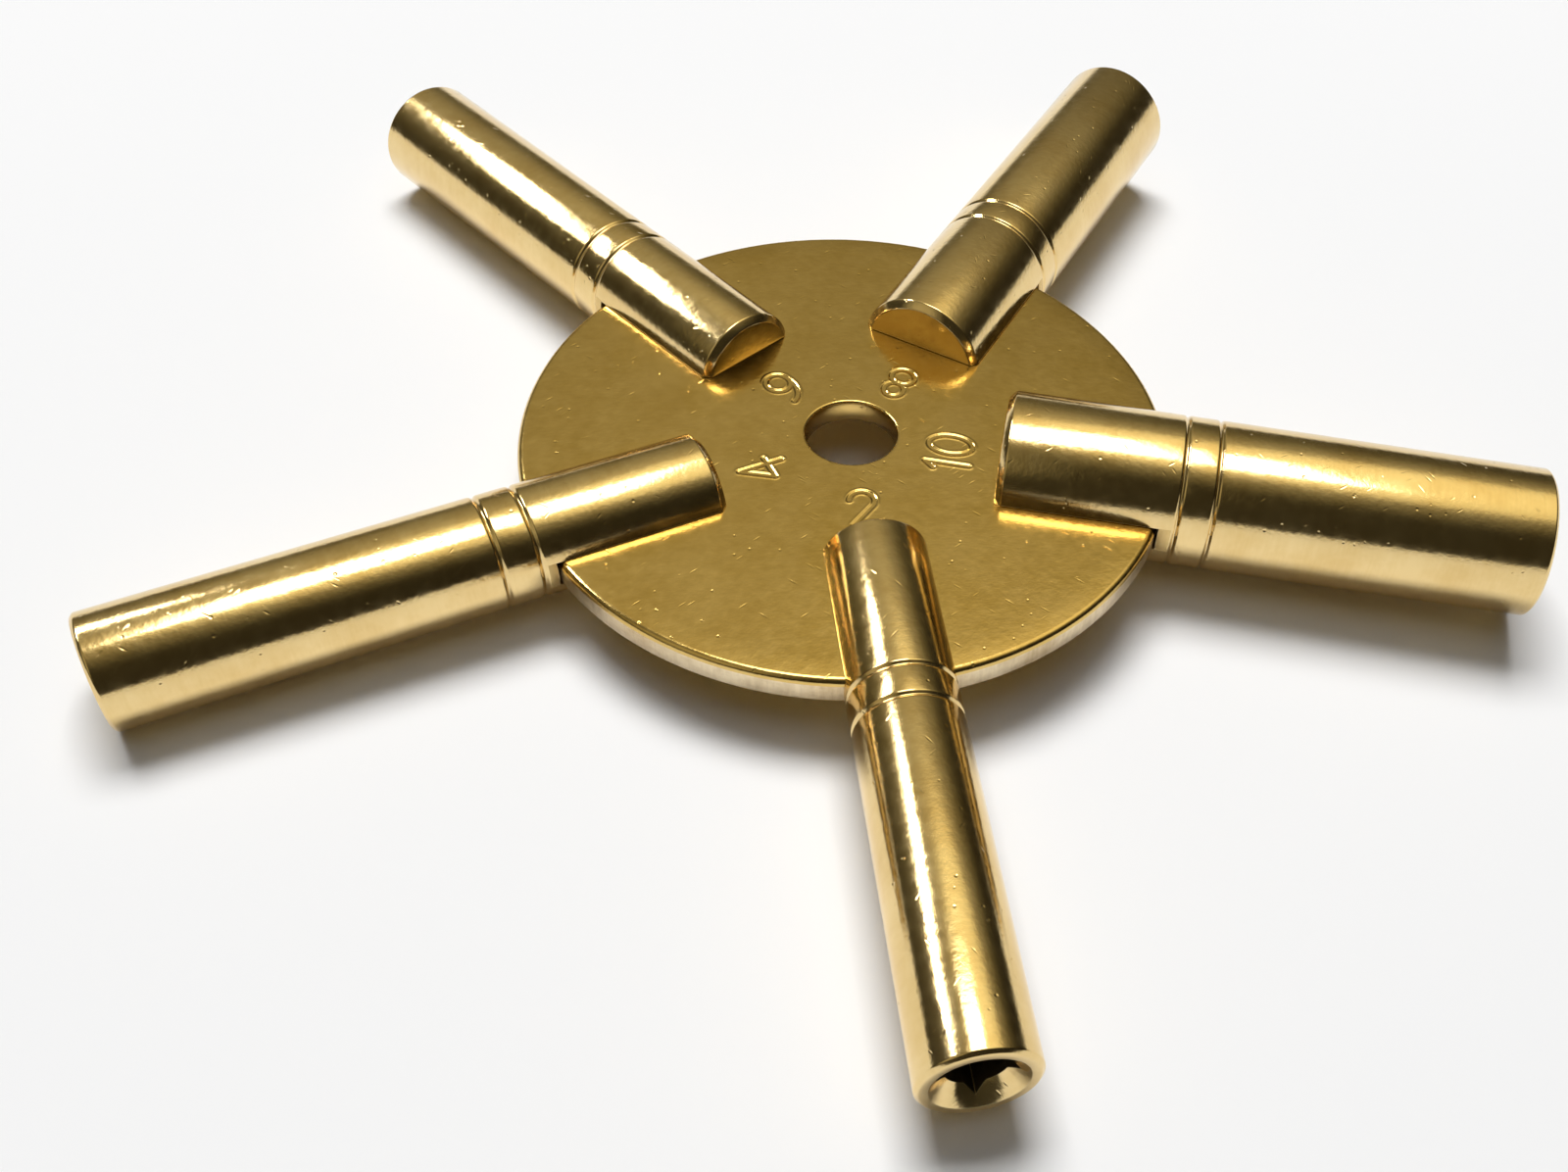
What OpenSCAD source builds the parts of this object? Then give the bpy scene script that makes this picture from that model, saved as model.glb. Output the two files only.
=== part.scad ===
// Star key for winding clocks: a flat round disc carries five turned barrels,
// each with a square socket of its own size in its outer end.

/* [Disc] */
// Diameter of the disc across its rim
disc_d = 38; // [34:0.5:44]
// Thickness of the disc, which is also the width of the slot in each barrel
disc_t = 1.6; // [1.2:0.1:2.4]
// Diameter of the hole in the middle of the disc
hole_d = 5.4; // [3:0.1:8]
// Radius of the rolled edge round the top of the rim
rim_roll = 0.4; // [0.1:0.05:0.5]
// Bevel at both mouths of the middle hole
hole_bevel = 0.15; // [0.05:0.05:0.3]

/* [Barrels] */
// Distance from the middle of the disc to the inner ends of the barrels
inner_end = 9; // [8:0.25:12]
// Distance from the middle of the disc to the outer ends of the barrels
outer_end = 41.4; // [39:0.2:50]
// Bevel round the inner end of each barrel
inner_bevel = 0.4; // [0.2:0.05:1]
// Edge break round the outer end of each barrel
outer_bevel = 0.2; // [0.05:0.05:0.3]
// Space left between the rim of the disc and the end of the slot
rim_gap = 0.15; // [0.05:0.05:0.3]

/* [Barrel diameters] */
// Diameter of the barrel of key number 2
barrel_2_d = 6; // [5.6:0.1:7]
// Diameter of the barrel of key number 4
barrel_4_d = 6.3; // [6.2:0.1:7.5]
// Diameter of the barrel of key number 6
barrel_6_d = 6.9; // [6.9:0.1:8]
// Diameter of the barrel of key number 8
barrel_8_d = 7.9; // [7.7:0.1:8.8]
// Diameter of the barrel of key number 10
barrel_10_d = 8.9; // [8.5:0.1:9.6]

/* [Grooves] */
// Distance from the rim of the disc to the middle of the first groove
groove_start = 0.6; // [0.6:0.05:1.5]
// Distance between the middles of the two grooves
groove_pitch = 2; // [1.2:0.1:4]
// Width of each groove at the surface of the barrel
groove_w = 0.35; // [0.2:0.05:0.6]
// Depth of each groove
groove_depth = 0.15; // [0.1:0.05:0.35]

/* [Sockets] */
// Across-flats size of the square that key number nought would have
square_base = 2.25; // [2:0.05:2.5]
// Growth of the across-flats size for each key number
square_step = 0.25; // [0.2:0.01:0.28]
// Depth of the square socket
socket_depth = 12; // [8:0.5:14]
// Width of the round pilot hole as a share of the across-flats size
pilot_share = 1.1; // [1.02:0.01:1.2]
// Depth of the pilot hole beyond the square
pilot_extra = 1.5; // [0.5:0.1:2.5]
// Width of the flat ring between the countersink and the edge break
mouth_ring = 0.45; // [0.2:0.05:0.5]

/* [Hidden] */
barrel_count = 5;
turn = 360 / barrel_count;
first_angle = -90;
disc_r = disc_d / 2;
hole_r = hole_d / 2;
half_t = disc_t / 2;
slot_end = disc_r + rim_gap;
barrel_len = outer_end - inner_end;
groove_1 = disc_r + groove_start - inner_end;
groove_2 = groove_1 + groove_pitch;
half_groove = groove_w / 2;
cut = 1;
number_2 = 2;
number_4 = 4;
number_6 = 6;
number_8 = 8;
number_10 = 10;
square_turn = 45;
on_side = 90;
round_fn = 96;
disc_fn = 180;
brass = [0.78, 0.62, 0.30];
bright_brass = [0.84, 0.68, 0.34];

// Across-flats size of the square for a key number
function flats(number) = square_base + square_step * number;

// Disc: one turned blank with a rolled upper rim and a bevelled hole
module disc() {
    color(brass)
    difference() {
        rotate_extrude($fn = disc_fn)
        disc_half();
        disc_hole();
    }
}

// Half section of the disc, from its axis to its rim
module disc_half() {
    translate([0, -half_t])
    square([disc_r - rim_roll, disc_t]);
    translate([0, -half_t])
    square([disc_r, disc_t - rim_roll]);
    translate([disc_r - rim_roll, half_t - rim_roll])
    circle(r = rim_roll, $fn = round_fn);
}

// Hole through the middle of the disc with a bevel at each mouth
module disc_hole() {
    cylinder(h = disc_t + 2 * cut, r = hole_r, center = true, $fn = round_fn);
    for (side = [0, 1])
    mirror([0, 0, side])
    translate([0, 0, half_t - hole_bevel])
    cylinder(h = hole_bevel + cut, r1 = hole_r, r2 = hole_r + hole_bevel + cut, $fn = round_fn);
}

// Turned outside of a barrel, standing on its inner end
module turned_body(radius) {
    rotate_extrude($fn = round_fn)
    polygon([
        [0, 0],
        [radius - inner_bevel, 0],
        [radius, inner_bevel],
        [radius, groove_1 - half_groove],
        [radius - groove_depth, groove_1],
        [radius, groove_1 + half_groove],
        [radius, groove_2 - half_groove],
        [radius - groove_depth, groove_2],
        [radius, groove_2 + half_groove],
        [radius, barrel_len - outer_bevel],
        [radius - outer_bevel, barrel_len],
        [0, barrel_len],
    ]);
}

// Square socket with its round pilot hole and the countersink at its mouth
module socket(number, radius) {
    across = flats(number);
    pilot_r = pilot_share * across / 2;
    mouth_r = radius - outer_bevel - mouth_ring;
    sink = mouth_r - pilot_r;
    translate([0, 0, barrel_len - socket_depth / 2 + cut / 2])
    rotate(square_turn)
    cube([across, across, socket_depth + cut], center = true);
    translate([0, 0, barrel_len - socket_depth - pilot_extra])
    cylinder(h = socket_depth + pilot_extra + cut, r = pilot_r, $fn = round_fn);
    translate([0, 0, barrel_len - socket_depth - pilot_extra - pilot_r / 2])
    cylinder(h = pilot_r / 2, r1 = 0, r2 = pilot_r, $fn = round_fn);
    translate([0, 0, barrel_len - sink])
    cylinder(h = sink + cut, r1 = pilot_r, r2 = mouth_r + cut, $fn = round_fn);
}

// One barrel: turned body, socket, and the slot that straddles the disc
module barrel(number, diameter) {
    radius = diameter / 2;
    angle = first_angle - turn * (number - number_2) / 2;
    color(bright_brass)
    rotate(angle)
    difference() {
        translate([inner_end, 0, 0])
        rotate([0, on_side, 0])
        difference() {
            turned_body(radius);
            socket(number, radius);
        }
        translate([0, -diameter, -half_t])
        cube([slot_end, 2 * diameter, disc_t]);
    }
}

module barrel_2() {
    barrel(number_2, barrel_2_d);
}

module barrel_4() {
    barrel(number_4, barrel_4_d);
}

module barrel_6() {
    barrel(number_6, barrel_6_d);
}

module barrel_8() {
    barrel(number_8, barrel_8_d);
}

module barrel_10() {
    barrel(number_10, barrel_10_d);
}

disc();
barrel_2();
barrel_4();
barrel_6();
barrel_8();
barrel_10();
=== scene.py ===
# %% [markdown]
# # A star key for winding clocks
# This lesson dresses a small brass tool: a flat disc that carries five turned barrels, each with a square
# socket of its own size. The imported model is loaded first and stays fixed, so every new piece can be made
# in the same frame, in metres, with the disc's hole at the origin and the stamped side facing up.

# %% Load the frame
import math
import bmesh
import bpy
import numpy as np
from mathutils import Matrix, Quaternion, Vector


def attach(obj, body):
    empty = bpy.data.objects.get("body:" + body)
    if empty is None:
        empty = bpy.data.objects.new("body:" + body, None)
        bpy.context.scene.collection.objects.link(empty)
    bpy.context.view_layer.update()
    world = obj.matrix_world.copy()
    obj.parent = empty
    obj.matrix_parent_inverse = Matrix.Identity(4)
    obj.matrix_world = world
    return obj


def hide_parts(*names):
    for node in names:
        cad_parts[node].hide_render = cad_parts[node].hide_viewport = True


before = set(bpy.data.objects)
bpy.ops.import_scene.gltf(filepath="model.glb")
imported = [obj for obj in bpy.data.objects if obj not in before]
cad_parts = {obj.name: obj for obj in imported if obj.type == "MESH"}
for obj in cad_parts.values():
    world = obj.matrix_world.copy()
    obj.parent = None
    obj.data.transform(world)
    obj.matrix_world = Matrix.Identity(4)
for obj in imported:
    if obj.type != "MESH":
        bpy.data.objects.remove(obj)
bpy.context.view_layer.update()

print("frame holds", sorted(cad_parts))

# %% [markdown]
# ## Sizes that the pieces share
# The solids already have the right shape, but polished metal is judged by its edges and reflections, and a
# coarse mesh shows facets there. Each piece is therefore made again, finer, from the same sizes. They are
# written in millimetres, as on a drawing, and turned into metres with one factor. The key numbers give the
# rest: each number up adds a quarter of a millimetre to the square and turns the barrel on round the disc.

# %% Drawing sizes
MM = 0.001
DISC_R = 19.0 * MM
DISC_T = 1.6 * MM
INNER_END = 9.0 * MM
OUTER_END = 41.4 * MM
INNER_BEVEL = 0.4 * MM
OUTER_BEVEL = 0.2 * MM
BARREL_D = {2: 6.0 * MM, 4: 6.3 * MM, 6: 6.9 * MM, 8: 7.9 * MM, 10: 8.9 * MM}
KEY_NUMBERS = sorted(BARREL_D)
FIRST_ANGLE = -90
ANGLE_PER_NUMBER = -36
FLATS_AT_ZERO = 2.25
FLATS_PER_NUMBER = 0.25


def barrel_angle(number):
    return math.radians(FIRST_ANGLE + ANGLE_PER_NUMBER * (number - KEY_NUMBERS[0]))


def flats(number):
    """Width across the flats of a key's square."""
    return (FLATS_AT_ZERO + FLATS_PER_NUMBER * number) * MM


for number in KEY_NUMBERS:
    print("key", number, "square", round(flats(number) / MM, 2), "mm, at",
          round(math.degrees(barrel_angle(number))), "degrees")

# %% [markdown]
# ## Nodes by hand
# The key is solid brass, polished long ago and handled since. Its finish could be painted as a picture and
# wrapped round each piece, but a picture blurs when the camera comes close, so the finish is built from
# shader nodes. A node is made, its settings are set, and each input gets a link or a plain value. The other
# helpers here are the small sums and mixes that every pattern needs.

# %% Node helpers
def add_node(tree, kind, **settings):
    node = tree.nodes.new(kind)
    for setting, value in settings.items():
        setattr(node, setting, value)
    return node


def feed(tree, node, inputs):
    """Links each input to the socket given for it, or sets it to the plain value."""
    for name, value in inputs.items():
        if isinstance(value, bpy.types.NodeSocket):
            tree.links.new(value, node.inputs[name])
        else:
            node.inputs[name].default_value = value


def combined(tree, operation, first, second):
    node = add_node(tree, "ShaderNodeMath", operation=operation)
    feed(tree, node, {0: first, 1: second})
    return node.outputs["Value"]


def weighed(tree, *shares):
    """The sum of some sockets, each times its own weight."""
    parts = [combined(tree, "MULTIPLY", socket, weight) for socket, weight in shares]
    total = parts[0]
    for part in parts[1:]:
        total = combined(tree, "ADD", total, part)
    return total


def ranged(tree, value, low, high, to_low, to_high):
    """Stretches the range low to high of a value onto another range, and holds it at the ends."""
    node = add_node(tree, "ShaderNodeMapRange", clamp=True)
    feed(tree, node, {"Value": value, "From Min": low, "From Max": high, "To Min": to_low, "To Max": to_high})
    return node.outputs["Result"]


def mixed(tree, factor, first, second):
    """A colour between two others."""
    node = add_node(tree, "ShaderNodeMix", data_type="RGBA")
    from_here, to_here = (place for place, socket in enumerate(node.inputs) if socket.type == "RGBA")
    feed(tree, node, {"Factor": factor, from_here: first, to_here: second})
    return next(socket for socket in node.outputs if socket.type == "RGBA")


print("node helpers ready in Blender", bpy.app.version_string)

# %% [markdown]
# ## Marks on the metal
# A metal's colour is all in its reflection, so the interest comes from what breaks the reflection up. Clouds,
# polishing lines and grit are noise, stretched along an axis where the mark is long. Pits and scratches are
# separate marks, so they come from a grid of cells: some cells hold a small hollow, and a stretched grid
# gives long hollows. Noise cut off at a level would give marks too, but of no even size.

# %% Noise and dents
DENT_FLOOR = 0.3


def noise(tree, coords, stretch, detail, rough=0.55):
    """Noise with as many bumps to the metre as stretch says for each axis."""
    mapping = add_node(tree, "ShaderNodeMapping")
    feed(tree, mapping, {"Vector": coords, "Scale": stretch})
    bumps = add_node(tree, "ShaderNodeTexNoise")
    feed(tree, bumps, {"Vector": mapping.outputs["Vector"], "Scale": 1.0})
    feed(tree, bumps, {"Detail": detail, "Roughness": rough})
    return bumps.outputs["Fac"]


def dents(tree, coords, stretch, size, amount, turn=0.0):
    """Small hollows in some cells of a turned and stretched grid: 0 in a hollow, 1 elsewhere."""
    mapping = add_node(tree, "ShaderNodeMapping", vector_type="TEXTURE")
    cell_size = [1 / count for count in stretch]
    feed(tree, mapping, {"Vector": coords, "Rotation": (0, 0, turn), "Scale": cell_size})
    cells = add_node(tree, "ShaderNodeTexVoronoi", feature="F1")
    feed(tree, cells, {"Vector": mapping.outputs["Vector"], "Scale": 1.0})
    hollow = ranged(tree, cells.outputs["Distance"], size * DENT_FLOOR, size, 0.0, 1.0)
    chance = add_node(tree, "ShaderNodeSeparateColor")
    feed(tree, chance, {"Color": cells.outputs["Color"]})
    left_out = combined(tree, "GREATER_THAN", chance.outputs["Red"], amount)
    return combined(tree, "MAXIMUM", hollow, left_out)


print("a dent is flat over", DENT_FLOOR, "of its width")

# %% [markdown]
# ## Worn edges
# Hands and pockets rub the edges of a key first, and bare brass is paler there. Edges could be painted by
# hand, or found by how sharply the mesh turns, but on pieces this small that finds little. The Bevel node
# gives the normal that a rounded edge would have, and where that leaves the true normal, there is an edge.

# %% Edge wear
WORN_EDGE = (0.92, 0.77, 0.48, 1)
WEAR_REACH = 0.12 * MM
WEAR_SAMPLES = 4
WEAR_MOST = 0.7
# how well the two normals agree where the wear is full and where it ends
FULL_WEAR, NO_WEAR = 0.88, 0.99


def edge_wear(tree):
    """0 on open faces, rising to WEAR_MOST on edges."""
    soft = add_node(tree, "ShaderNodeBevel", samples=WEAR_SAMPLES)
    feed(tree, soft, {"Radius": WEAR_REACH})
    true_normal = add_node(tree, "ShaderNodeNewGeometry").outputs["Normal"]
    agree = add_node(tree, "ShaderNodeVectorMath", operation="DOT_PRODUCT")
    feed(tree, agree, {0: soft.outputs["Normal"], 1: true_normal})
    return ranged(tree, agree.outputs["Value"], FULL_WEAR, NO_WEAR, WEAR_MOST, 0.0)


print("edges wear over", round(WEAR_REACH / MM, 2), "mm")

# %% [markdown]
# ## Relief
# Under a lens the brass has lines from the polishing cloth, pits, crossed scratches, slow waves and grit.
# All of it is some hundredths of a millimetre deep at most. Modelling that would take millions of vertices,
# so a bump tilts the light instead, and the outline stays as it is.

# %% Relief of the surface
# counts to the metre along each axis
PITS = (1300,) * 3
WAVES = (300,) * 3
GRIT = (3200,) * 3
# counts along and across, and the turn in radians, of two sets of scratches
SCRATCHES = (((500, 2600, 1500), 0.6), ((420, 2400, 1300), -0.8))
PIT_SIZE, PIT_AMOUNT = 0.14, 0.34
SCRATCH_SIZE, SCRATCH_AMOUNT = 0.16, 0.3
BUMP_DEPTH = 0.012 * MM
BUMP_STRENGTH = 0.5


def relief(tree, coords, polish, nick):
    """The tilted normal; nick says how deep the pits and scratches are."""
    pits = dents(tree, coords, PITS, PIT_SIZE, PIT_AMOUNT)
    one_way, other_way = (dents(tree, coords, stretch, SCRATCH_SIZE, SCRATCH_AMOUNT, turn)
                          for stretch, turn in SCRATCHES)
    scratches = combined(tree, "MINIMUM", one_way, other_way)
    waves = noise(tree, coords, WAVES, 1.0)
    grit = noise(tree, coords, GRIT, 2.0)
    height = weighed(tree, (polish, 0.14), (pits, nick), (scratches, 0.6 * nick), (waves, 0.2), (grit, 1.2))
    bump = add_node(tree, "ShaderNodeBump")
    feed(tree, bump, {"Height": height, "Strength": BUMP_STRENGTH, "Distance": BUMP_DEPTH})
    return bump.outputs["Normal"]


print("grit is about", round(1 / GRIT[0] / MM, 2), "mm wide")

# %% [markdown]
# ## The brass recipe
# Old brass also differs from place to place in colour and in how dull it is. Clouds and spots of tarnish lead
# from a light shade to a dark one, the spots set the roughness too, and worn edges are paler and duller. One
# function makes the whole material, so that every finish of the key belongs to the same metal.

# %% Recipe
CLOUDS = (260,) * 3
SPOTS = (1500,) * 3
# where on the tone's scale the dark shade ends and the light one begins
DARK_TONE, LIGHT_TONE = 0.36, 0.58
SPOT_RANGE = (0.3, 0.7)
WORN_DULLNESS = 0.12


def tarnish(tree, tone, light, dark):
    ramp = add_node(tree, "ShaderNodeValToRGB")
    for stop, place, shade in zip(ramp.color_ramp.elements, (DARK_TONE, LIGHT_TONE), (dark, light)):
        stop.position = place
        stop.color = (*shade, 1)
    feed(tree, ramp, {"Fac": tone})
    return ramp.outputs["Color"]


def brass(name, light, dark, lines, roughness, nick):
    material = bpy.data.materials.new(name)
    material.use_nodes = True
    tree = material.node_tree
    coords = add_node(tree, "ShaderNodeTexCoord").outputs["Object"]
    clouds = noise(tree, coords, CLOUDS, 5.0)
    spots = noise(tree, coords, SPOTS, 3.0)
    polish = noise(tree, coords, lines, 3.0, 0.7)
    worn = edge_wear(tree)
    tone = weighed(tree, (clouds, 0.6), (spots, 0.2), (polish, 0.2))
    spotted = ranged(tree, spots, *SPOT_RANGE, *roughness)
    feed(tree, tree.nodes["Principled BSDF"], {
        "Metallic": 1.0,
        "Base Color": mixed(tree, worn, tarnish(tree, tone, light, dark), WORN_EDGE),
        "Roughness": combined(tree, "ADD", spotted, combined(tree, "MULTIPLY", worn, WORN_DULLNESS)),
        "Normal": relief(tree, coords, polish, nick)})
    return material


print("tarnish clouds are about", round(1 / CLOUDS[0] / MM, 1), "mm wide")

# %% [markdown]
# ## Five brass finishes
# The same recipe gives five finishes. The disc was rolled flat and rubbed, so its fine lines run one way.
# The barrels were turned, so their lines run round. Sawn faces are duller, the disc's blanked side is pale
# with short upright streaks, and the sockets are painted near black: painted shade down the deep holes.

# %% Finishes
disc_brass = brass("disc_brass", light=(0.74, 0.52, 0.18), dark=(0.65, 0.44, 0.13),
                   lines=(700, 5200, 700), roughness=(0.13, 0.20), nick=2.6)
barrel_brass = brass("barrel_brass", light=(0.86, 0.65, 0.31), dark=(0.77, 0.55, 0.23),
                     lines=(5200, 500, 500), roughness=(0.11, 0.18), nick=2.4)
sawn_brass = brass("sawn_brass", light=(0.80, 0.60, 0.27), dark=(0.66, 0.45, 0.17),
                   lines=(2600, 2600, 900), roughness=(0.32, 0.5), nick=0.6)
blanked_brass = brass("blanked_brass", light=(0.88, 0.74, 0.50), dark=(0.52, 0.37, 0.19),
                      lines=(2600, 2600, 300), roughness=(0.28, 0.42), nick=0.8)
# near black finish for the inside of the sockets: painted shade for the deep holes, not the metal's own colour
shade_painted_brass = brass("shade_painted_brass", light=(0.06, 0.045, 0.025), dark=(0.025, 0.02, 0.012),
                   lines=(1800, 1800, 1800), roughness=(0.5, 0.7), nick=0.6)
print("finishes:", [m.name for m in (disc_brass, barrel_brass, sawn_brass, blanked_brass, shade_painted_brass)])

# %% [markdown]
# ## Turning a profile
# A barrel is turned on a lathe, so its shape is one outline swept round an axis. Blender's Screw modifier
# could sweep it, but a few lines of bmesh give full control of the rings. Real turned edges are never knife
# sharp, so each corner of the outline is first replaced by a short curve. That curve is what catches the
# thin bright line along an edge.

# %% Turning helpers
CORNER_SHARE = 0.45


def rounded(outline, radius, steps=3):
    """The outline with a curve for each corner, which takes less than half of the sides beside it."""
    out = [outline[0]]
    for corners in zip(outline, outline[1:], outline[2:]):
        before, corner, after = (Vector(point) for point in corners)
        reach = min(radius, (before - corner).length * CORNER_SHARE, (after - corner).length * CORNER_SHARE)
        start = corner + (before - corner).normalized() * reach
        end = corner + (after - corner).normalized() * reach
        for step in range(steps + 1):
            t = step / steps
            out.append(tuple((1 - t) ** 2 * start + 2 * t * (1 - t) * corner + t * t * end))
    return out + [outline[-1]]


def placed(name, data):
    """A new object in the scene for a mesh, a lamp or a camera."""
    made = bpy.data.objects.new(name, data)
    bpy.context.collection.objects.link(made)
    return made


def from_bmesh(name, bm):
    mesh = bpy.data.meshes.new(name)
    bm.to_mesh(mesh)
    bm.free()
    return placed(name, mesh)


def turned(name, outline, segments):
    """Sweeps (along, radius) points round the X axis; the ends close on the axis."""
    bm = bmesh.new()
    rings = []
    for along, radius in outline:
        turns = [math.tau * k / segments for k in range(segments if radius else 1)]
        ring = [(along, radius * math.cos(turn), radius * math.sin(turn)) for turn in turns]
        rings.append([bm.verts.new(point) for point in ring])
    for first, second in zip(rings, rings[1:]):
        for k in range(segments):
            n = (k + 1) % segments
            corners = [ring[i % len(ring)] for ring, i in ((first, k), (first, n), (second, n), (second, k))]
            bm.faces.new(list(dict.fromkeys(corners)))
    bmesh.ops.recalc_face_normals(bm, faces=bm.faces)
    return from_bmesh(name, bm)


print("one corner becomes", len(rounded([(0, 0), (1, 0), (1, 1)], 0.1)) - 2, "points")

# %% [markdown]
# ## The barrel's outline
# Every barrel is the same turning with another diameter: a bevel at the inner end, two V grooves just
# outside the disc, and a small edge break at the mouth. One outline with the radius left open serves all
# five.

# %% Barrel outline
GROOVES = (DISC_R + 0.6 * MM, DISC_R + 2.6 * MM)
GROOVE_W = 0.35 * MM
GROOVE_DEPTH = 0.15 * MM


def barrel_outline(radius):
    half = GROOVE_W / 2
    points = [(INNER_END, 0), (INNER_END, radius - INNER_BEVEL), (INNER_END + INNER_BEVEL, radius)]
    for middle in GROOVES:
        points += [(middle - half, radius), (middle, radius - GROOVE_DEPTH), (middle + half, radius)]
    return points + [(OUTER_END - OUTER_BEVEL, radius), (OUTER_END, radius - OUTER_BEVEL), (OUTER_END, 0)]


print("barrel outline has", len(barrel_outline(BARREL_D[10] / 2)), "points")

# %% [markdown]
# ## Cutting
# The slot and the socket are cut with Boolean modifiers, the way a saw and a broach cut the real barrel.
# Each result is baked into the mesh at once, and the cutter is thrown away. A fresh cut is sharp, so its
# edges are then broken with a small bevel.

# %% Cutting helpers
SHARP_ANGLE = 40
SAME_PLACE = 1e-7


def block(name, low, high, turn):
    bm = bmesh.new()
    bmesh.ops.create_cube(bm, size=1.0)
    low, high = Vector(low), Vector(high)
    for vert in bm.verts:
        vert.co = Vector((low[i] + (high[i] - low[i]) * (vert.co[i] + 0.5) for i in range(3)))
    bm.transform(Matrix.Rotation(turn, 4, "X"))
    return from_bmesh(name, bm)


def cut(piece, cutter):
    boolean = piece.modifiers.new("cut", "BOOLEAN")
    boolean.object = cutter
    boolean.operation = "DIFFERENCE"
    boolean.solver = "EXACT"
    bpy.context.view_layer.update()
    evaluated = piece.evaluated_get(bpy.context.evaluated_depsgraph_get())
    result = bpy.data.meshes.new_from_object(evaluated)
    piece.modifiers.clear()
    old, piece.data = piece.data, result
    bpy.data.meshes.remove(old)
    bpy.data.meshes.remove(cutter.data)


def break_edges(piece, width):
    bm = bmesh.new()
    bm.from_mesh(piece.data)
    bmesh.ops.remove_doubles(bm, verts=bm.verts, dist=SAME_PLACE)
    folded = [edge for edge in bm.edges if len(edge.link_faces) == 2]
    sharp = [edge for edge in folded if edge.calc_face_angle() > math.radians(SHARP_ANGLE)]
    bmesh.ops.bevel(bm, geom=sharp, offset=width, segments=2, profile=0.5, affect="EDGES", clamp_overlap=True)
    bm.to_mesh(piece.data)
    bm.free()


def smooth(piece, angle=SHARP_ANGLE):
    piece.data.shade_smooth()
    piece.data.set_sharp_from_angle(angle=math.radians(angle))


print("edges of more than", SHARP_ANGLE, "degrees are broken")

# %% [markdown]
# ## Slot and socket
# The slot's cutter is a round saw, so the slot ends in the same curve as the disc's rim, and a little play
# leaves the dark line of the joint. The mouth is countersunk, a round pilot hole is drilled, and the square
# is broached through it with its corners standing past the round. Each tool is a small solid of its own.

# %% Saw, drill and broach
SLOT_R = DISC_R + 0.15 * MM
SLOT_T = DISC_T + 0.08 * MM
SOCKET_DEPTH = 12.0 * MM
PILOT_SHARE = 1.1
PILOT_EXTRA = 1.5 * MM
MOUTH_RING = 0.45 * MM
PAST_MOUTH = 1.0 * MM
SAW_SEGMENTS = 360
DRILL_SEGMENTS = 120


def saw():
    half = SLOT_T / 2
    blade = turned("saw", [(-half, 0), (-half, SLOT_R), (half, SLOT_R), (half, 0)], SAW_SEGMENTS)
    blade.data.transform(Matrix.Rotation(math.radians(90), 4, "Y"))
    return blade


def mouth_and_pilot(number):
    """Radius of the countersunk mouth and of the pilot hole under it."""
    return BARREL_D[number] / 2 - OUTER_BEVEL - MOUTH_RING, PILOT_SHARE * flats(number) / 2


def drill(number):
    mouth, pilot = mouth_and_pilot(number)
    foot = OUTER_END - SOCKET_DEPTH - PILOT_EXTRA
    top = OUTER_END + PAST_MOUTH
    outline = [(foot - pilot / 2, 0), (foot, pilot), (OUTER_END - (mouth - pilot), pilot), (OUTER_END, mouth),
               (top, mouth + PAST_MOUTH), (top, 0)]
    return turned("drill", outline, DRILL_SEGMENTS)


def broach(number):
    side = flats(number) / 2
    low = (OUTER_END - SOCKET_DEPTH, -side, -side)
    high = (OUTER_END + PAST_MOUTH, side, side)
    return block("broach", low, high, math.radians(45))


print("slot", round(SLOT_T / MM, 2), "mm wide, sockets", round(SOCKET_DEPTH / MM), "mm deep")

# %% [markdown]
# ## The barrels
# Now the tools are used in a workshop's order: turn, saw, drill, broach, break the edges. A material can
# differ from face to face, so the faces down the socket get the near-black finish, painted shade for the deep
# hole, and those in the slot the sawn one, by where their middles lie. Last, each barrel is turned to its
# place round the disc.

# %% Make the barrels
BARREL_SEGMENTS = 160
TURNED_EDGE = 0.07 * MM
BROKEN_EDGE = 0.05 * MM
# limits for sorting faces: deeper than any drill, inside the wall, and just past the slot
DRILLED = SOCKET_DEPTH + 4.0 * MM
INSIDE = 0.5 * MM
SLOT_END_MARGIN = 0.1 * MM
SLOT_SIDE_MARGIN = 0.01 * MM


def paint_barrel(piece, number):
    for material in (barrel_brass, sawn_brass, shade_painted_brass):
        piece.data.materials.append(material)
    sawn, socket_shade = (piece.data.materials.find(material.name) for material in (sawn_brass, shade_painted_brass))
    mouth, pilot = mouth_and_pilot(number)
    for face in piece.data.polygons:
        along, off = face.center.x, math.hypot(face.center.y, face.center.z)
        # faces down the socket get the near-black finish, which is painted shade for the deep hole
        below_mouth = OUTER_END - DRILLED < along < OUTER_END - (mouth - pilot)
        if below_mouth and off < BARREL_D[number] / 2 - INSIDE:
            face.material_index = socket_shade
        elif along < SLOT_R + SLOT_END_MARGIN and abs(face.center.z) < SLOT_T / 2 + SLOT_SIDE_MARGIN:
            face.material_index = sawn


def make_barrel(number):
    outline = rounded(barrel_outline(BARREL_D[number] / 2), TURNED_EDGE)
    piece = turned(f"turned_barrel_{number}", outline, BARREL_SEGMENTS)
    cut(piece, saw())
    cut(piece, drill(number))
    cut(piece, broach(number))
    break_edges(piece, BROKEN_EDGE)
    smooth(piece)
    paint_barrel(piece, number)
    piece.rotation_euler = (0, 0, barrel_angle(number))
    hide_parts(f"barrel_{number}")
    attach(piece, "root")
    return piece


barrels = {number: make_barrel(number) for number in KEY_NUMBERS}
print("barrel faces:", {number: len(piece.data.polygons) for number, piece in barrels.items()})

# %% [markdown]
# ## The stamped numbers
# Each barrel's number is punched into the disc beside it. A text object could be cut into the disc, but its
# letters have the wrong shape and hard walls. The strokes are drawn instead, as lines and arcs in a box one
# unit high, and set down beside their barrels.

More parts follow.
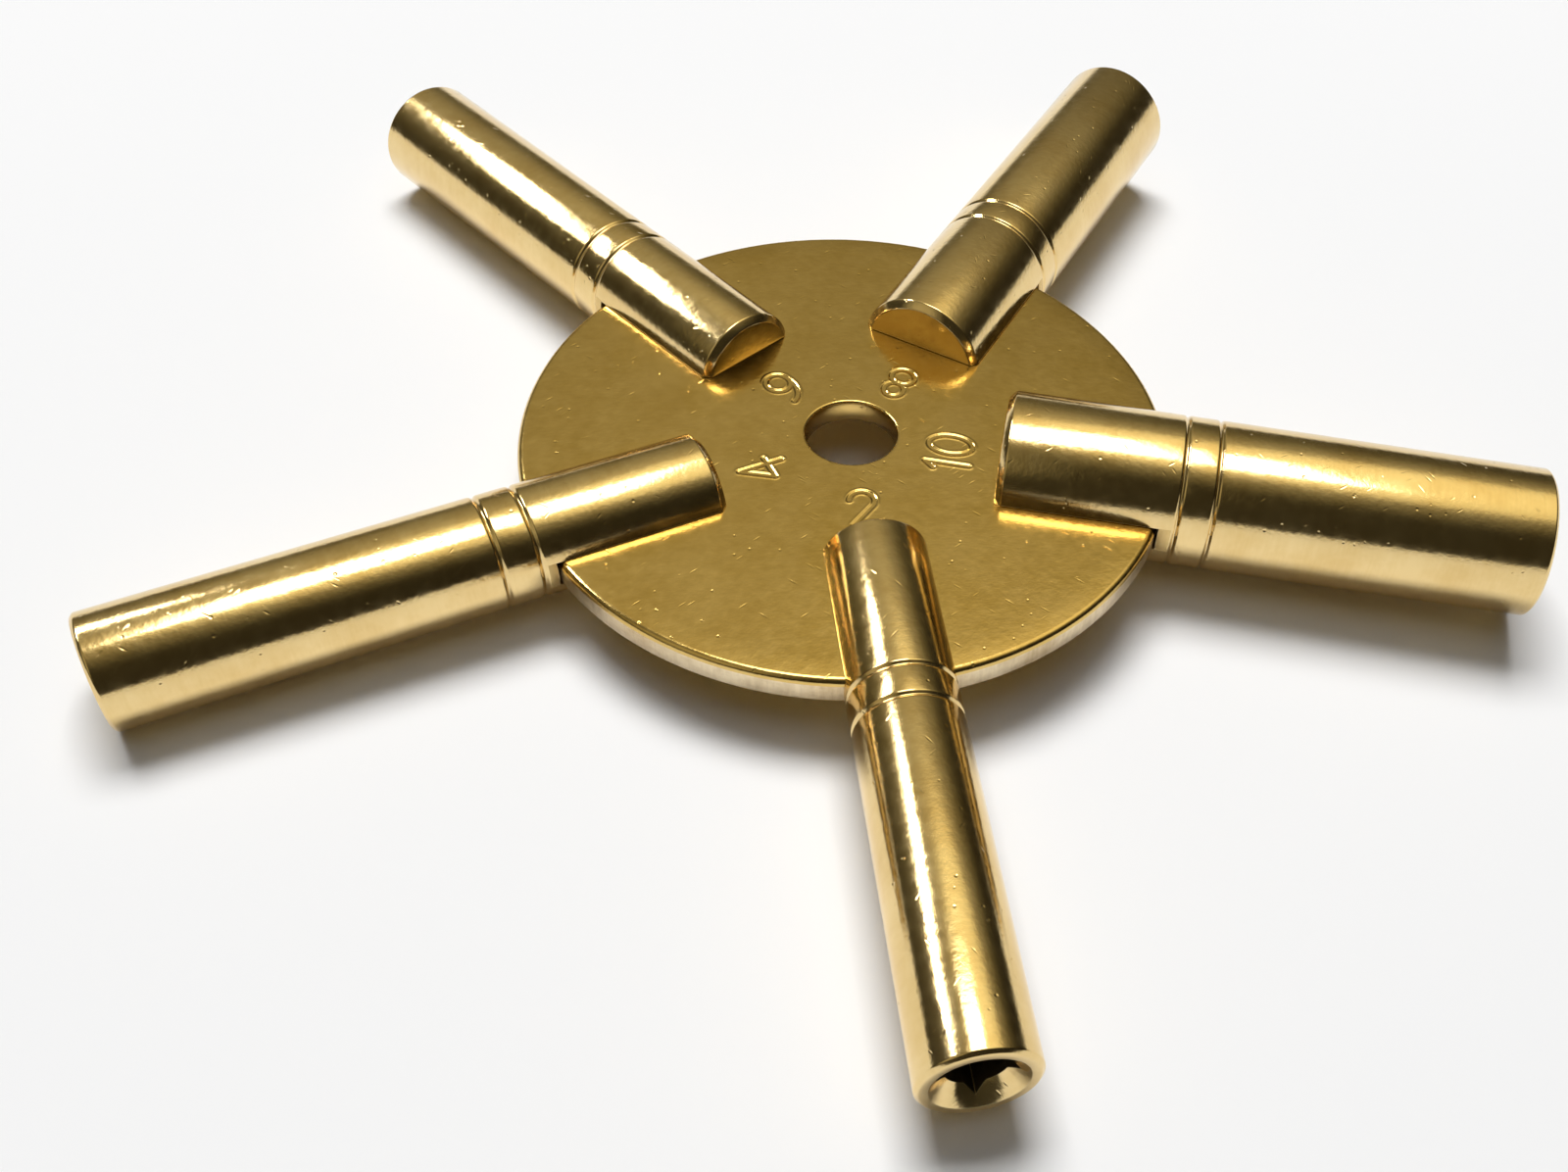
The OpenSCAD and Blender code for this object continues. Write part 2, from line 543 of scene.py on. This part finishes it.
# %% Strokes of the numbers
def arc(cx, cy, rx, ry, start, end, count):
    turns = [math.radians(start + (end - start) * k / count) for k in range(count + 1)]
    return [(cx + rx * math.cos(turn), cy + ry * math.sin(turn)) for turn in turns]


STROKES = {
    "0": [arc(0.0, 0.5, 0.30, 0.5, 0, 360, 36)],
    "1": [[(-0.16, 0.80), (0.02, 1.0), (0.02, 0.0)]],
    "2": [arc(0.0, 0.72, 0.28, 0.28, 170, -35, 20) + [(-0.28, 0.0), (0.30, 0.0)]],
    "4": [[(0.14, 0.0), (0.14, 1.0), (-0.30, 0.34), (0.32, 0.34)]],
    "6": [arc(0.0, 0.29, 0.28, 0.29, 0, 360, 30), arc(0.22, 0.36, 0.50, 0.64, 190, 100, 16)],
    "8": [arc(0.0, 0.75, 0.23, 0.24, 0, 360, 26), arc(0.0, 0.26, 0.28, 0.26, 0, 360, 28)],
}
DIGIT_H = 2.6 * MM
# barrel: each digit with its distance from the hole's centre and its place to the side
STAMPS = {2: [("2", 6.3 * MM, -0.2 * MM)], 4: [("4", 6.0 * MM, 0.8 * MM)], 6: [("6", 5.5 * MM, 0.3 * MM)],
          8: [("8", 5.3 * MM, -0.4 * MM)], 10: [("1", 5.9 * MM, -1.5 * MM), ("0", 5.9 * MM, 0.15 * MM)]}
TOP_OUTWARD = (4,)


def stamp_segments():
    """Start and end points of all the short straight stretches of the strokes, on the disc."""
    starts, ends = [], []
    for number, digits in STAMPS.items():
        angle = barrel_angle(number)
        out = Vector((math.cos(angle), math.sin(angle)))
        side = Vector((-math.sin(angle), math.cos(angle)))
        turn = -1 if number in TOP_OUTWARD else 1
        for digit, distance, sideways in digits:
            middle = out * distance + side * sideways
            for stroke in STROKES[digit]:
                points = [middle + (side * x - out * (y - 0.5)) * turn * DIGIT_H for x, y in stroke]
                starts += points[:-1]
                ends += points[1:]
    return np.array([tuple(point) for point in starts]), np.array([tuple(point) for point in ends])


print("strokes have", len(stamp_segments()[0]), "short stretches")

# %% [markdown]
# ## How deep a punch goes
# A punch pushes metal aside, so a stroke is a shallow trough with a raised lip on both sides. The distance
# from the nearest stroke gives both: the wall slopes down inside half a stroke's width, and the lip is a
# small hump just outside it.

# %% Depth of the stamping
STROKE_HALF = 0.19 * MM
STAMP_DEPTH = 0.035 * MM
LIP = 0.018 * MM
# shares of half a stroke: the wall's slope, the lip's place and the lip's spread
WALL_SLOPE, LIP_PLACE, LIP_SPREAD = 0.5, 1.25, 0.35


def stamp_height(points):
    near = np.full(len(points), 1.0)
    for a, b in zip(*stamp_segments()):
        span = b - a
        t = np.clip(((points - a) @ span) / max(span @ span, 1e-18), 0, 1)
        near = np.minimum(near, np.linalg.norm(points - a - t[:, None] * span, axis=1))
    wall = np.clip((STROKE_HALF - near) / (STROKE_HALF * WALL_SLOPE), 0, 1)
    lip = np.exp(-(((near - STROKE_HALF * LIP_PLACE) / (STROKE_HALF * LIP_SPREAD)) ** 2))
    return LIP * lip - STAMP_DEPTH * wall * wall * (3 - 2 * wall)


print("middle of a stroke lies at", round(stamp_height(stamp_segments()[0][:1])[0] / MM, 3), "mm")

# %% [markdown]
# ## The disc's grid
# The disc was blanked from sheet: the punch rolls the upper edge over and leaves the side a little torn.
# Its mesh is a polar grid, a section set round the hole at many angles. Both are fine where the numbers are,
# so that the stamping can be pushed straight into the vertices, and coarse elsewhere.

# %% Section and angles of the disc
HOLE_R = 2.7 * MM
HOLE_BEVEL = 0.15 * MM
RIM_ROLL = 0.4 * MM
LOWER_EDGE = 0.08 * MM
# where the grid's rings lie: beside the bevel, under the disc, and close together round the numbers
BEVEL_EASE = 0.05 * MM
UNDERSIDE = (DISC_R - 2 * MM, HOLE_R + 1 * MM)
STAMPED = (3.6 * MM, 8.0 * MM)
FINE = 0.035 * MM
COARSE_TURN, FINE_TURN = 0.03, 0.006
DIGIT_SPREAD = 0.25


def disc_turns():
    """Angles round the disc, close together where a number is stamped."""
    turns = [0.0]
    while turns[-1] < math.tau:
        step = COARSE_TURN
        for number, digits in STAMPS.items():
            spread = DIGIT_SPREAD + max(abs(sideways) / distance for _, distance, sideways in digits)
            if abs(math.remainder(turns[-1] - barrel_angle(number), math.tau)) < spread:
                step = FINE_TURN
        turns.append(turns[-1] + step)
    return np.array(turns[:-1])


def disc_section():
    """(radius, height) points up the hole, out over the top, down the rolled rim and back underneath."""
    half = DISC_T / 2
    lip = HOLE_R + HOLE_BEVEL
    bevel_turns = np.linspace(0.3, math.pi / 2, 4)
    roll_turns = np.linspace(0.15, math.pi / 2, 9)
    hole = [(lip + BEVEL_EASE, -half), (lip, -half), (HOLE_R, -half + HOLE_BEVEL), (HOLE_R, half - HOLE_BEVEL)]
    hole += [(HOLE_R + HOLE_BEVEL * (1 - math.cos(t)), half - HOLE_BEVEL * (1 - math.sin(t)))
             for t in bevel_turns]
    radii = [*np.linspace(lip + BEVEL_EASE, STAMPED[0], 4, endpoint=False),
             *np.arange(*STAMPED, FINE),
             *np.linspace(STAMPED[1], DISC_R - RIM_ROLL, 9)]
    rim = [(DISC_R - RIM_ROLL * (1 - math.sin(t)), half - RIM_ROLL * (1 - math.cos(t))) for t in roll_turns]
    rim += [(DISC_R, LOWER_EDGE - half), (DISC_R - LOWER_EDGE / 4, LOWER_EDGE / 4 - half),
            (DISC_R - LOWER_EDGE, -half)]
    under = [(r, -half) for r in np.linspace(*UNDERSIDE, 4)]
    return np.array(hole + [(r, half) for r in radii] + rim + under)


print("grid of", len(disc_section()), "points at", len(disc_turns()), "angles")

# %% [markdown]
# ## The disc
# The section is set round, the stamping is added to the height of the top's vertices, and neighbouring
# points are joined into faces. The blanked side gets its own pale finish, and the rolled rim keeps the
# polish of the top.

# %% Make the disc
SIDE_DEPTH = 0.01 * MM
ROLLED_SHARE = 0.95
DISC_SHARP_ANGLE = 50


def disc_mesh():
    section, turns = disc_section(), disc_turns()
    rows, segments = len(section), len(turns)
    verts = np.empty((segments, rows, 3))
    verts[..., 0] = np.cos(turns)[:, None] * section[:, 0]
    verts[..., 1] = np.sin(turns)[:, None] * section[:, 0]
    verts[..., 2] = section[:, 1]
    verts = verts.reshape(-1, 3)
    top = (verts[:, 2] > DISC_T / 2 - 1e-9) & (np.hypot(verts[:, 0], verts[:, 1]) < STAMPED[1])
    verts[top, 2] += stamp_height(verts[top, :2])
    faces = []
    for s in range(segments):
        n = (s + 1) % segments
        for r in range(rows):
            q = (r + 1) % rows
            faces.append((s * rows + r, n * rows + r, n * rows + q, s * rows + q))
    mesh = bpy.data.meshes.new("stamped_disc")
    mesh.from_pydata(verts.tolist(), [], faces)
    bm = bmesh.new()
    bm.from_mesh(mesh)
    bmesh.ops.recalc_face_normals(bm, faces=bm.faces)
    bm.to_mesh(mesh)
    bm.free()
    return mesh


def make_disc():
    piece = placed("stamped_disc", disc_mesh())
    for material in (disc_brass, blanked_brass):
        piece.data.materials.append(material)
    blanked = piece.data.materials.find(blanked_brass.name)
    for face in piece.data.polygons:
        off = math.hypot(face.center.x, face.center.y)
        if off > DISC_R - SIDE_DEPTH and face.center.z < DISC_T / 2 - RIM_ROLL * ROLLED_SHARE:
            face.material_index = blanked
    smooth(piece, DISC_SHARP_ANGLE)
    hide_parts("disc")
    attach(piece, "root")
    return piece


disc = make_disc()
print("disc faces:", len(disc.data.polygons))

# %% [markdown]
# ## The table
# The key lies on a pale table. Its barrels differ in size, so it can't lie quite flat: it stands on the
# inner end of the thickest barrel and on the outer ends of two thinner ones, and the plane through those
# three points is the table. The pieces stay in their frame, so the table tilts and not the key.

# %% Floor
REST_ON = {10: INNER_END + INNER_BEVEL, 6: OUTER_END - OUTER_BEVEL, 4: OUTER_END - OUTER_BEVEL}
FLOOR_HALF = 1.2
FLOOR_CORNERS = ((-1, -1), (1, -1), (1, 1), (-1, 1))
TABLE_COLOUR = (0.95, 0.95, 0.95, 1)


def lowest_point(number, along):
    angle = barrel_angle(number)
    return Vector((math.cos(angle) * along, math.sin(angle) * along, -BARREL_D[number] / 2))


first, second, third = (lowest_point(number, along) for number, along in REST_ON.items())
upright = (second - first).cross(third - first).normalized()
upright = upright if upright.z > 0 else -upright


def on_table(x, y):
    return Vector((x, y, first.z - (upright.x * (x - first.x) + upright.y * (y - first.y)) / upright.z))


floor_points = [on_table(x * FLOOR_HALF, y * FLOOR_HALF) for x, y in FLOOR_CORNERS]
table_mesh = bpy.data.meshes.new("table")
table_mesh.from_pydata(floor_points, [], [(0, 1, 2, 3)])
table = placed("table", table_mesh)
table_white = bpy.data.materials.new("table_white")
table_white.use_nodes = True
feed(table_white.node_tree, table_white.node_tree.nodes["Principled BSDF"],
     {"Base Color": TABLE_COLOUR, "Roughness": 0.9, "Specular IOR Level": 0.1})
table_mesh.materials.append(table_white)
print("table tilts", round(math.degrees(upright.angle((0, 0, 1))), 2), "degrees")

# %% [markdown]
# ## Lamps
# A soft lamp behind the key on the left and a smaller one above it give the white bands along the barrels.
# Metal has no diffuse light of its own, so the table can have lamps to itself: a broad one far behind, whose
# shadows fall towards the viewer, and a weak one above. One set of lamps for both would work too, but then
# the bands and the shadows could only be set together. Each lamp's visibility switches keep the sets apart.

# %% Lamps
# name: place in metres, turn in degrees, sizes in metres, power in watts, what it lights
LAMPS = {"back_lamp": ((-0.45, 0.38, 0.55), 50, (0.36, 0.19), 5.0, "metal"),
         "top_lamp": ((0.0, 0.08, 0.60), 0, (0.28, 0.25), 1.1, "metal"),
         "table_lamp": ((0.0, 0.90, 1.96), 0, (1.25, 1.0), 49.0, "table"),
         "table_fill": ((0.0, 0.0, 1.50), 0, (1.5, 1.5), 4.2, "table")}
for name, (place, turn, sizes, power, lit) in LAMPS.items():
    lamp_data = bpy.data.lights.new(name, "AREA")
    lamp_data.shape = "RECTANGLE"
    lamp_data.size, lamp_data.size_y = sizes
    lamp_data.energy = power
    lamp = placed(name, lamp_data)
    lamp.location = place
    lamp.rotation_euler = (0, 0, math.radians(turn))
    lamp.visible_diffuse = lit == "table"
    lamp.visible_glossy = lit == "metal"
print("lamps:", sorted(LAMPS))

# %% [markdown]
# ## The room
# Polished metal shows the room, so the room is part of the picture: a ceiling that glows, a dim far wall, a
# window on the left and a dark side where the viewer stands, which gives the brown bands. A photographed
# room would do as well, but a few glows are easier to place. Each is a level of light that falls off with
# the angle from one direction.

# %% Room
WARM = (1.0, 0.90, 0.58)
world = bpy.data.worlds.new("room")
bpy.context.scene.world = world
world.use_nodes = True
world.cycles_visibility.diffuse = False
room = world.node_tree
direction = add_node(room, "ShaderNodeTexCoord").outputs["Generated"]


def glow(axis, stops):
    """Light round one direction: each stop is an angle from it in degrees, and a level."""
    facing = add_node(room, "ShaderNodeVectorMath", operation="DOT_PRODUCT")
    feed(room, facing, {0: direction, 1: Vector(axis).normalized()})
    ramp = add_node(room, "ShaderNodeValToRGB")
    while len(ramp.color_ramp.elements) < len(stops):
        ramp.color_ramp.elements.new(0.5)
    for stop, (angle, level) in zip(ramp.color_ramp.elements, sorted(stops, reverse=True)):
        stop.position = max(0.0, math.cos(math.radians(angle)))
        stop.color = (*(level * part for part in WARM), 1)
    feed(room, ramp, {"Fac": facing.outputs["Value"]})
    return ramp.outputs["Color"]


ceiling = glow((0.24, 0.16, 0.96), (
    (0, 1.15), (14, 1.1), (20, 1.0), (24, 0.82), (27, 0.54), (30, 0.31),
    (34, 0.21), (38, 0.15), (44, 0.08), (50, 0.035), (57, 0.02), (90, 0.02)))
far_wall = glow((-0.12, 0.78, 0.61), (
    (0, 0.29), (8, 0.28), (15, 0.24), (24, 0.145), (34, 0.09), (45, 0.05), (60, 0.01), (90, 0.0)))
window = glow((-0.68, -0.38, 0.63), ((0, 0.42), (12, 0.40), (22, 0.18), (32, 0.02), (90, 0.0)))
room_light = ceiling
for patch in (far_wall, window):
    brighter = add_node(room, "ShaderNodeVectorMath", operation="ADD")
    feed(room, brighter, {0: room_light, 1: patch})
    room_light = brighter.outputs["Vector"]
print("room nodes:", len(room.nodes))

# %% [markdown]
# ## The backdrop
# From a low place the camera sees past the table's edge, and a plain pale backdrop stands there. It could be
# one more mesh round the table, but as a part of the world its height in the metal can be set: the metal
# shows its foot too, a few degrees high, and above that the dark room.

# %% Backdrop
BACKDROP = (0.80, 0.80, 0.79, 1)
# the foot is whole up to the first angle above the table and gone at the second
BACKDROP_FOOT = (math.sin(math.radians(2)), math.sin(math.radians(5)))
height = add_node(room, "ShaderNodeSeparateXYZ")
feed(room, height, {"Vector": direction})
low_down = ranged(room, height.outputs["Z"], *BACKDROP_FOOT, 1.0, 0.0)
ray = add_node(room, "ShaderNodeLightPath").outputs
mirrored = combined(room, "MAXIMUM", ray["Is Glossy Ray"], ray["Is Transmission Ray"])
in_metal = combined(room, "MULTIPLY", mirrored, low_down)
shown = combined(room, "MAXIMUM", ray["Is Camera Ray"], in_metal)
feed(room, room.nodes["Background"], {"Color": mixed(room, shown, room_light, BACKDROP), "Strength": 1.0})
print("backdrop colour", BACKDROP[:3])

# %% [markdown]
# ## Camera
# The picture was taken from close by, from about 43 degrees above the disc. A camera could be aimed by eye,
# but here its place and turn were worked out from the outlines of the disc and the barrels. The picture is a
# little off centre, which the lens shift gives.

# %% Camera
EYE = Vector((-10.7, -71.6, 67.4)) * MM
AIM = Vector((8.9, -17.2, 0.0)) * MM
ROLL = math.radians(9.6)
SENSOR_W = 36.0
LENS = 37.53
SHIFT = (-0.175, 0.039)
NEAREST, FARTHEST = 0.005, 20.0
camera_data = bpy.data.cameras.new("camera")
camera_data.sensor_width = SENSOR_W
camera_data.lens = LENS
camera_data.shift_x, camera_data.shift_y = SHIFT
camera_data.clip_start, camera_data.clip_end = NEAREST, FARTHEST
camera = placed("camera", camera_data)
camera.location = EYE
camera.rotation_mode = "QUATERNION"
camera.rotation_quaternion = (AIM - EYE).to_track_quat("-Z", "Y") @ Quaternion((0, 0, 1), ROLL)
bpy.context.scene.camera = camera
bpy.context.scene.view_settings.view_transform = "Standard"
above = math.degrees(math.atan2(EYE.z, math.hypot(EYE.x, EYE.y)))
print("lens", LENS, "mm, the hole is seen from", round(above), "degrees above the disc")
